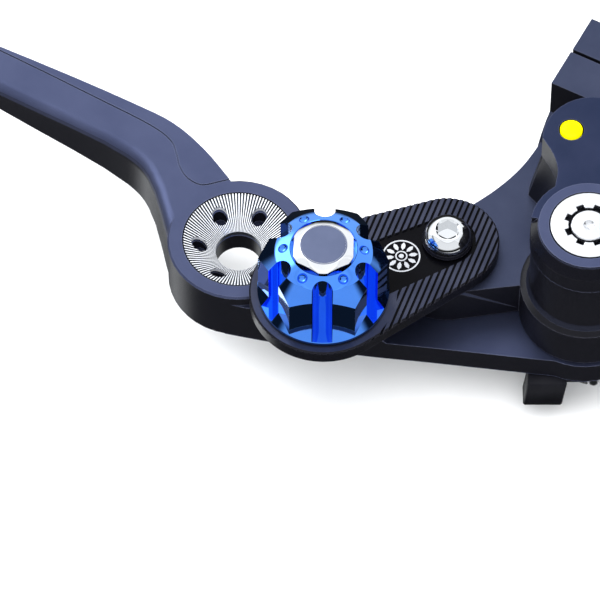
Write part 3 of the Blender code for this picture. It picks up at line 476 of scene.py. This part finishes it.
# painted shade: all faces of the seat but the tooth tops are painted dark, as shade in the gaps
TOOTH_GAP_SHADE = finish("tooth_gaps_painted_shade", (0.05, 0.06, 0.08), (0.12, 0.13, 0.16), 0.4, 0.9, 6000.0, 0.1)
BRONZE = finish("bronze", (0.42, 0.27, 0.11), (0.56, 0.37, 0.17), 0.38, 1.0, 9000.0, 0.25)
RUBBER = finish("rubber", (0.012, 0.012, 0.013), (0.022, 0.022, 0.024), 0.72, 0.0, 4000.0, 0.3)
PLASTIC = finish("black_plastic", (0.004, 0.004, 0.006), (0.008, 0.008, 0.011), 0.45, 0.0, 5000.0, 0.35,
                 shine=0.1)
YELLOW = finish("yellow_plastic", (0.86, 0.78, 0.0), (0.94, 0.86, 0.0), 0.3, 0.0, 3000.0, 0.03, shine=0.05)
ETCHED = finish("etched_silver", (0.5, 0.51, 0.54), (0.75, 0.76, 0.79), 0.35, 1.0, 9000.0, 0.3)


# ---------------------------------------------------------------- objects

def dress(made, width):
    """Rounded edges and even shading, as modifiers."""
    if width:
        bevel = made.modifiers.new("edges", "BEVEL")
        bevel.width = width * MM
        bevel.segments = 2
        bevel.limit_method = "ANGLE"
        bevel.angle_limit = math.radians(BEVEL_ANGLE)
        bevel.harden_normals = True
    normals = made.modifiers.new("normals", "WEIGHTED_NORMAL")
    normals.keep_sharp = True


def piece(name, shape, body, materials, replaced, sharp=SHARP_ANGLE, width=0.0):
    """One visible object that stands for CAD nodes and rides on their body; width is its edges' rounding."""
    bmesh.ops.scale(shape, vec=(MM, MM, MM), verts=shape.verts)
    mesh = bpy.data.meshes.new(name)
    shape.to_mesh(mesh)
    shape.free()
    for material in materials:
        mesh.materials.append(material)
    mesh.shade_smooth()
    mesh.set_sharp_from_angle(angle=math.radians(sharp))
    made = bpy.data.objects.new(name, mesh)
    bpy.context.collection.objects.link(made)
    dress(made, width)
    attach(made, body)
    if replaced:
        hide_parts(*replaced)
    return made


def faces_up_at(face, level):
    """Whether a face looks up and lies at a level."""
    return face.normal.z > 0.9 and abs(face.calc_center_median().z - level) < 0.05


def paint(shape, number, wanted):
    """Give a material number to the faces that pass a test."""
    shape.normal_update()
    for face in shape.faces:
        if wanted(face):
            face.material_index = number
    return shape


# ---------------------------------------------------------------- lever

def seam():
    """Cutter of the fine seam along the blade's top."""
    middle = curve([(-190.0, -3.5), (-145.4, -4.7), (-118.8, -5.9), (-105.6, -6.7), (-99.6, -8.2),
                    (-96.6, -10.8), (-94.2, -13.6), (-91.2, -15.4), (-87.6, -15.5), (-84.4, -12.8),
                    (-80.5, -9.0)])
    left, right = [], []
    for before, here, after in zip([middle[0]] + middle, middle, middle[1:] + [middle[-1]]):
        along = (Vector(after) - Vector(before)).normalized()
        side = Vector((-along.y, along.x)) * SEAM_WIDTH / 2
        left.append(tuple(Vector(here) + side))
        right.append(tuple(Vector(here) - side))
    return prism(left + right[::-1], LEVER_TOP - SEAM_DEPTH, LEVER_TOP + 1.0)


def make_lever():
    """The CAD blade with its seam, and rounded edges."""
    shape = boolean(cad_copy("lever_blade"), seam())
    piece("blade_and_hub", shape, "lever", [SLATE], ["lever_blade"], width=0.22)


def make_seat():
    """Dished seat with radial teeth."""
    shape = bmesh.new()
    columns = []
    for i in range(TEETH * 4):
        tooth, part = divmod(i, 4)
        angle = 360.0 / TEETH * (tooth + TOOTH_STEPS[part])
        inner, outer = polar((0, 0), HUB_BORE, angle), polar((0, 0), SEAT_RADIUS, angle)
        drop = 0.0 if part in (1, 2) else TOOTH_DEPTH
        columns.append((shape.verts.new((*inner, LEVER_TOP - SEAT_DEPTH - drop * TOOTH_TAPER)),
                        shape.verts.new((*outer, LEVER_TOP - SEAT_SINK - drop)),
                        shape.verts.new((*outer, LEVER_TOP - SEAT_EDGE)),
                        shape.verts.new((*inner, SEAT_LOW))))
    for i, here in enumerate(columns):
        after = columns[(i + 1) % len(columns)]
        for j in range(4):
            k = (j + 1) % 4
            face = shape.faces.new((here[j], here[k], after[k], after[j]))
            # tooth tops take the bright finish; the flanks and gaps the dark one, which is painted shade
            tooth_top = j == 0 and i % 4 == 1
            face.material_index = 0 if tooth_top else 1
    bmesh.ops.recalc_face_normals(shape, faces=shape.faces)
    holes = []
    for i in range(6):
        hole = rod(PEG_RADIUS, SEAT_LOW - 1, LEVER_TOP + 1)
        holes.append(moved(hole, *polar((0, 0), PEG_CIRCLE, KNOB_TURN + 60 * i)))
    shape = moved(boolean(shape, joined(holes)), *HUB)
    piece("serrated_seat", shape, "lever", [TOOTH, TOOTH_GAP_SHADE], ["serrated_ring"], 12.0)


# ---------------------------------------------------------------- knob

def hexagon(across_flats, bottom, top, turn=0.0):
    """A hexagonal bar along Z, with a corner at the angle of its turn."""
    return prism([polar((0, 0), across_flats / math.sqrt(3), turn + 60 * i) for i in range(6)], bottom, top)


def knob_top():
    """The knob's shoulder, crown and recess, as one turned shape."""
    rim = KNOB_RADIUS + 1.0
    edge = KNOB_TOP - CROWN
    shoulder = [(SHAFT_HOLE, KNOB_LOW + 0.5), (rim, KNOB_LOW + 0.5),
                (rim, edge - SHOULDER_SLOPE * (rim - TOP_RADIUS)), (TOP_RADIUS + TOP_EDGE, edge - TOP_EDGE),
                (TOP_RADIUS, edge - 0.02), (TOP_RADIUS - TOP_EDGE, edge + 0.06)]
    crown = [(radius, KNOB_TOP - depth) for radius, depth in CROWN_POINTS]
    recess = [(RECESS_RADIUS + RECESS_EDGE, KNOB_TOP), (RECESS_RADIUS, KNOB_TOP - RECESS_EDGE),
              (RECESS_RADIUS, KNOB_TOP - RECESS_DEPTH), (SHAFT_HOLE, KNOB_TOP - RECESS_DEPTH)]
    return turned(shoulder + crown + recess, 144)


def make_knob():
    """Hexagonal knob on a round foot: a flute in each flat, a dimple above each corner."""
    flats = hexagon(KNOB_ACROSS_FLATS, KNOB_LOW, KNOB_TOP + 1)
    waist = KNOB_ACROSS_FLATS / 2 - 0.1
    ledge = KNOB_LOW + FOOT_EDGE
    foot = turned([(SHAFT_HOLE, KNOB_LOW), (KNOB_RADIUS - 0.2, KNOB_LOW), (KNOB_RADIUS, KNOB_LOW + 0.2),
                   (KNOB_RADIUS, ledge - 0.15), (KNOB_RADIUS - 0.12, ledge),
                   (waist, ledge + FOOT_RISE), (SHAFT_HOLE, ledge + FOOT_RISE)], 144)
    shape = boolean(boolean(knob_top(), flats, "INTERSECT"), foot, "UNION")
    flutes, dimples = [], []
    for i in range(6):
        angle = 30.0 + 60.0 * i
        outline = link_outline(polar((0, 0), FLUTE_CIRCLE, angle), FLUTE_RADIUS,
                               polar((0, 0), FLUTE_CIRCLE + 8.0, angle), FLUTE_RADIUS - 0.001, 24)
        flutes.append(prism(outline, ledge, KNOB_TOP + 1))
        ball = bmesh.new()
        bmesh.ops.create_uvsphere(ball, u_segments=32, v_segments=20, radius=DIMPLE_RADIUS)
        dimples.append(moved(ball, *polar((0, 0), DIMPLE_CIRCLE, 60.0 * i), KNOB_TOP - DIMPLE_DROP))
    shape = boolean(shape, joined(flutes))
    shape = boolean(shape, joined(dimples))
    shape = moved(turned_by(shape, KNOB_TURN), *KNOB)
    piece("fluted_knob", shape, "adjuster", [BLUE], ["adjuster_knob"], 24.0, 0.12)


def make_knob_bolt():
    """Chromed hexagon bolt with a plain faced disc on top."""
    _, low, high = place("knob_bolt")
    floor = KNOB_TOP - RECESS_DEPTH + 0.3
    head = hexagon(BOLT_ACROSS_FLATS, floor, high, 30)
    chamfer = [(DISC_RADIUS + beyond, high - depth) for beyond, depth in BOLT_CHAMFER]
    cone = turned([(0.0, floor - 1), (BOLT_CORNER, floor - 1), (BOLT_CORNER, high - BOLT_SHOULDER)] + chamfer
                  + [(DISC_RADIUS, high), (0.0, high)], 96)
    head = boolean(head, cone, "INTERSECT")
    head = boolean(head, rod(BOLT_SHANK, low, floor + 1.0, 32), "UNION")
    inner, outer = (DISC_RADIUS - inset for inset in DISC_GROOVE)
    groove_floor = high - DISC_GROOVE_DEPTH
    groove = turned([(inner, groove_floor), (outer, groove_floor), (outer, high + 1), (inner, high + 1)], 96)
    head = boolean(head, groove)
    paint(head, 1, lambda face: face.normal.z > 0.99 and face.calc_center_median().z > high - 0.2)
    shape = moved(turned_by(head, KNOB_TURN), *KNOB)
    piece("chromed_bolt", shape, "adjuster", [CHROME, DISC], ["knob_bolt"], 24.0, 0.08)


# ---------------------------------------------------------------- plate

def make_plate():
    """Ribbed plate, smooth round the knob, with a sunk panel along its middle."""
    _, low, high = place("link_plate")
    groove_floor = high - RIB_DEPTH
    knob_end, dome_end = PLATE_RADII
    outline = link_outline(KNOB, knob_end, DOME, dome_end, 72)
    rim = link_outline(KNOB, knob_end - PLATE_CHAMFER, DOME, dome_end - PLATE_CHAMFER, 72)
    base = prism(outline, low, high - PLATE_CHAMFER)
    top = prism(outline, high - PLATE_CHAMFER, high, rim)
    base = boolean(base, top, "UNION")
    middle = (Vector(KNOB) + Vector(DOME)) / 2
    half = (RIB_PITCH - RIB_WIDTH) / 2
    grooves = []
    for i in range(-RIBS_EACH_WAY, RIBS_EACH_WAY + 1):
        across = i * RIB_PITCH
        groove = prism([(-RIB_REACH, across - half), (RIB_REACH, across - half),
                        (RIB_REACH, across + half), (-RIB_REACH, across + half)], groove_floor, high + 1)
        grooves.append(moved(turned_by(groove, RIB_HEADING), middle.x, middle.y))
    smooth = moved(rod(knob_end - 0.1, groove_floor - 1, high + 2, 72), *KNOB)
    grooves = boolean(joined(grooves), smooth)
    panel = link_outline(KNOB, PANEL_RADII[0], DOME, PANEL_RADII[1], 64)
    base = boolean(base, boolean(grooves, prism(panel, groove_floor, high + 1), "UNION"))
    for centre, radius in ((KNOB, SHAFT_OPENING), (DOME, SCREW_OPENING)):
        base = boolean(base, moved(rod(radius, low - 1, high + 1, 48), *centre))
    # painted light and shade: the top faces take the lighter rib finish as a painted highlight; the groove
    # floors take the glossy black as painted shade, which on the sunk panel is its own colour
    paint(base, 1, lambda face: faces_up_at(face, high))
    paint(base, 2, lambda face: faces_up_at(face, groove_floor))
    piece("ribbed_plate", base, "perch", [BLACK, RIB, PANEL], ["link_plate"], 30.0)
    make_ornament(groove_floor)


def make_ornament(level):
    """A plain rosette on the panel: two rings and a row of petals."""
    along = (Vector(DOME) - Vector(KNOB)).normalized()
    centre = Vector(KNOB) + along * ROSETTE_ALONG + Vector((-along.y, along.x)) * ROSETTE_ASIDE
    top = level + ROSETTE_HEIGHT
    shapes = []
    for outer, width in ROSETTE_RINGS:
        inner = outer - width
        shapes.append(turned([(inner, level), (outer, level), (outer, top), (inner, top)], 64))
    shapes.append(rod(ROSETTE_DOT, level, top))
    for i in range(PETALS):
        shapes.append(turned_by(prism(PETAL, level, top), 360.0 / PETALS * i))
    shape = moved(joined(shapes), centre.x, centre.y)
    piece("panel_rosette", shape, "perch", [ETCHED], [], 30.0)


def make_dome():
    """Thin dished washer and domed socket screw."""
    _, low, high = place("cup_washer")
    radius = (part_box("cup_washer")[1].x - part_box("cup_washer")[0].x) / 2 / MM
    washer = turned([(SCREW_HOLE, low), (radius - 0.1, low), (radius, low + 0.12), (radius - 0.1, low + 0.4),
                     (radius - 0.4, high), (SCREW_HOLE, high)], 96)
    piece("dished_washer", moved(washer, *DOME), "perch", [BLACK], ["cup_washer"], 30.0)
    _, low, top = place("dome_screw")
    base = high + DOME_GAP
    shoulder = base + 0.4
    head = radius - DOME_INSET
    last = math.acos(DOME_FLAT / head)
    rise = (top - shoulder) / math.sin(last)
    profile = [(0.0, low), (SHANK_RADIUS, low), (SHANK_RADIUS, base), (head - DOME_EDGE, base),
               (head, base + DOME_EDGE)]
    for i in range(DOME_STEPS + 1):
        angle = last * i / DOME_STEPS
        profile.append((head * math.cos(angle), shoulder + rise * math.sin(angle)))
    screw = turned(profile + [(0.0, top)], 96)
    socket = hexagon(SOCKET, base + SOCKET_FLOOR, top + 1, KNOB_TURN + 30)
    mouth = turned([(0.0, top - 0.35), (SOCKET / 2, top - 0.35), (SOCKET / 2 + SOCKET_MOUTH, top + 0.15),
                    (0.0, top + 0.15)], 64)
    screw = boolean(boolean(screw, socket), mouth)
    piece("domed_screw", moved(screw, *DOME), "perch", [CHROME], ["dome_screw"], 30.0, 0.08)


# ---------------------------------------------------------------- pieces whose CAD shape is right

def refine(node, name, body, materials, width, tints=()):
    """A CAD node's surface with rounded edges."""
    shape = cad_copy(node)
    for number, wanted in tints:
        paint(shape, number, wanted)
    piece(name, shape, body, materials, [node], width=width)


def carry(node, material):
    """Give a CAD node that stays in sight, or inside, its finish and even shading."""
    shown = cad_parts[node]
    shown.data.materials.clear()
    shown.data.materials.append(material)
    if "custom_normal" in shown.data.attributes:
        shown.data.attributes.remove(shown.data.attributes["custom_normal"])
    shown.data.shade_smooth()
    weld = shown.modifiers.new("weld", "WELD")
    weld.merge_threshold = 0.000002
    shown.data.set_sharp_from_angle(angle=math.radians(SHARP_ANGLE))


def make_cover():
    """The CAD cover with its front edge sloped; its top face painted lighter, a painted highlight, and its
    slopes painted near-black, painted shade.
    """
    _, _, high = place("pivot_cover")
    slope = turned([(COVER_RIM + beyond, high - depth) for beyond, depth in COVER_SLOPE], 96)
    (x, y), _, _ = place("yellow_plug")
    rear = math.degrees(math.atan2(y, x))
    front = arc((0, 0), 20.0, rear + COVER_SLOPE_END, rear + 360.0 - COVER_SLOPE_END, 12)
    sector = prism([(0.0, 0.0)] + front, high - 8, high + 2)
    shape = boolean(cad_copy("pivot_cover"), boolean(slope, sector, "INTERSECT"))
    # painted light and shade: the top face takes the lighter slate finish, the sloped faces the near-black
    # one
    paint(shape, 1, lambda face: faces_up_at(face, high))
    paint(shape, 2, lambda face: 0.2 < face.normal.z < 0.8)
    piece("boss_cover", shape, "perch", [COVER, SLATE, BLACK], ["pivot_cover"], width=0.25)


def boss_foot_shade(face):
    """Whether a face is part of the ledge round the foot of the pivot boss, which is painted near-black as
    painted shade.
    """
    return face.normal.z > 0.9 and all(vert.co.xy.length < BOSS_FOOT + 0.1 for vert in face.verts)


def make_rest():
    """Every other piece."""
    # painted shade: the ledge round the foot of the pivot boss takes the near-black finish
    refine("perch_body", "perch_casting", "perch", [ARM, BLACK], 0.25, [(1, boss_foot_shade)])
    make_cover()
    refine("clamp_cap", "rear_clamp_cap", "perch", [ARM], 0.4)
    refine("ring_nut", "slotted_nut", "perch", [SATIN], 0.12)
    refine("pivot_bolt", "hexagon_pivot_bolt", "perch", [SATIN], 0.2)
    refine("end_plug", "hexagon_plug", "perch", [STEEL], 0.2)
    for node in ("clamp_bolt_upper", "clamp_bolt_lower"):
        refine(node, node.replace("clamp_bolt", "socket_bolt"), "perch", [STEEL], 0.15)
    plain = {"cover_screw": STEEL, "yellow_plug": YELLOW, "lock_washer": PLASTIC, "shaft_bush": BRONZE,
             "inlet_nipple": PLASTIC, "piston_clip": STEEL, "return_spring": STEEL, "plug_seal": BRONZE,
             "switch_housing": PLASTIC, "switch_screw": STEEL, "pivot_bush": BRONZE, "striker_pin": STEEL,
             "adjuster_shaft": STEEL, "cam_sleeve": STEEL, "detent_ball": STEEL, "detent_spring": STEEL,
             "piston": STEEL, "pushrod": STEEL, "primary_cup": RUBBER, "secondary_cup": RUBBER,
             "switch_plunger": PLASTIC}
    for node, material in plain.items():
        carry(node, material)


# ---------------------------------------------------------------- studio

def direction(azimuth, elevation):
    """Unit vector away from the object; azimuth is counted from the camera's side."""
    angle, rise = math.radians(CAMERA_AZIMUTH + azimuth), math.radians(elevation)
    return Vector((math.sin(angle) * math.cos(rise), -math.cos(angle) * math.cos(rise), math.sin(rise)))


def make_camera():
    """The camera at the object's main view."""
    toward = direction(0.0, CAMERA_ELEVATION)
    aim = (Vector((*KNOB, KNOB_LOW)) + Vector(AIM_FROM_KNOB)) * MM
    data = bpy.data.cameras.new("camera")
    data.lens = CAMERA_LENS
    data.sensor_width = 36.0
    data.clip_start = 0.01
    camera = bpy.data.objects.new("camera", data)
    camera.location = aim + toward * CAMERA_DISTANCE * MM
    camera.rotation_euler = toward.to_track_quat("Z", "Y").to_euler()
    bpy.context.collection.objects.link(camera)
    bpy.context.scene.camera = camera


def make_floor():
    """A plain pale floor."""
    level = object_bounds()[0].z - 0.0002
    mesh = bpy.data.meshes.new("floor")
    size = 4.0
    mesh.from_pydata([(-size, -size, level), (size, -size, level), (size, size, level), (-size, size, level)],
                     [], [(0, 1, 2, 3)])
    floor = bpy.data.objects.new("floor", mesh)
    made = finish("pale_floor", (0.9, 0.9, 0.9), (0.92, 0.92, 0.92), 0.8, 0.0, 400.0, 0.02)
    mesh.materials.append(made)
    floor.visible_glossy = False
    bpy.context.collection.objects.link(floor)


def band(tree, value, low, high, soft):
    """1 between two values, falling to 0 over a soft edge."""
    up = ranged(tree, value, low - soft, low + soft, soft=True)
    down = ranged(tree, value, high - soft, high + soft, 1.0, 0.0, soft=True)
    return math_node(tree, "MULTIPLY", up, down)


def make_world():
    """A dark studio with soft light panels, in front of a white backdrop."""
    world = bpy.data.worlds.new("studio")
    bpy.context.scene.world = world
    world.use_nodes = True
    tree = world.node_tree
    tree.nodes.clear()
    where = tree.nodes.new("ShaderNodeTexCoord")
    turn = tree.nodes.new("ShaderNodeMapping")
    turn.vector_type = "POINT"
    turn.inputs["Rotation"].default_value = (0.0, 0.0, math.radians(-CAMERA_AZIMUTH))
    tree.links.new(where.outputs["Generated"], turn.inputs["Vector"])
    parts = tree.nodes.new("ShaderNodeSeparateXYZ")
    tree.links.new(turn.outputs["Vector"], parts.inputs[0])
    x, y, z = parts.outputs
    elevation = math_node(tree, "MULTIPLY", math_node(tree, "ARCSINE", z), 180 / math.pi)
    azimuth = math_node(tree, "ARCTAN2", x, math_node(tree, "MULTIPLY", y, -1.0))
    azimuth = math_node(tree, "MULTIPLY", azimuth, 180 / math.pi)
    away = math_node(tree, "ABSOLUTE", azimuth)

    # each panel: strength, azimuth signed or not, its range, the elevation's range, and the edges' softness
    panels = [(1.15, away, (105.0, 400.0), (8.0, 69.0), 6.0),
              (1.15, away, (-50.0, 400.0), (64.0, 120.0), 3.0),
              (3.0, azimuth, (-166.0, -108.0), (27.0, 56.0), 5.0),
              (0.95, away, (-50.0, 62.0), (12.0, 64.0), 6.0),
              (1.1, azimuth, (-104.0, -80.0), (6.0, 32.0), 5.0),
              (1.05, away, (62.0, 105.0), (38.0, 64.0), 4.0),
              (0.8, away, (-50.0, 86.0), (-48.0, -12.0), 3.0),
              (1.3, azimuth, (92.0, 138.0), (-64.0, -14.0), 4.0),
              (2.2, azimuth, (-138.0, -92.0), (-64.0, -14.0), 4.0)]
    total = 0.02
    for strength, angle, around, up, soft in panels:
        across = band(tree, angle, *around, soft)
        shape = math_node(tree, "MULTIPLY", across, band(tree, elevation, *up, soft))
        total = math_node(tree, "ADD", math_node(tree, "MULTIPLY", shape, strength), total)
    tint = tree.nodes.new("ShaderNodeCombineColor")
    for i, share in enumerate((0.94, 0.97, 1.0)):
        tree.links.new(math_node(tree, "MULTIPLY", total, share), tint.inputs[i])

    room = tree.nodes.new("ShaderNodeBackground")
    room.inputs["Color"].default_value = (1.0, 1.0, 1.0, 1.0)
    room.inputs["Strength"].default_value = 0.95
    studio = tree.nodes.new("ShaderNodeBackground")
    tree.links.new(tint.outputs[0], studio.inputs["Color"])
    path = tree.nodes.new("ShaderNodeLightPath")
    mix = tree.nodes.new("ShaderNodeMixShader")
    tree.links.new(path.outputs["Is Camera Ray"], mix.inputs[0])
    tree.links.new(studio.outputs[0], mix.inputs[1])
    tree.links.new(room.outputs[0], mix.inputs[2])
    output = tree.nodes.new("ShaderNodeOutputWorld")
    tree.links.new(mix.outputs[0], output.inputs[0])


def make_light(name, azimuth, elevation, size, power, colour=(1.0, 1.0, 1.0)):
    """A soft square light, which faces the knob."""
    toward = direction(azimuth, elevation)
    data = bpy.data.lights.new(name, "AREA")
    data.size = size * MM
    data.energy = power
    data.color = colour
    light = bpy.data.objects.new(name, data)
    light.location = (Vector((*KNOB, KNOB_LOW)) + toward * LIGHT_DISTANCE) * MM
    light.rotation_euler = toward.to_track_quat("Z", "Y").to_euler()
    light.visible_glossy = False
    bpy.context.collection.objects.link(light)


def make_studio():
    """Floor, lights, room and camera."""
    make_floor()
    make_light("key", 165.0, 66.0, 1200.0, 10.0)
    make_light("front", -10.0, 72.0, 1600.0, 34.0)
    make_light("fill", -80.0, 55.0, 1200.0, 6.0, (0.92, 0.95, 1.0))
    make_world()
    make_camera()
    bpy.context.scene.view_settings.view_transform = "Standard"


make_lever()
make_seat()
make_knob()
make_knob_bolt()
make_plate()
make_dome()
make_rest()
make_studio()
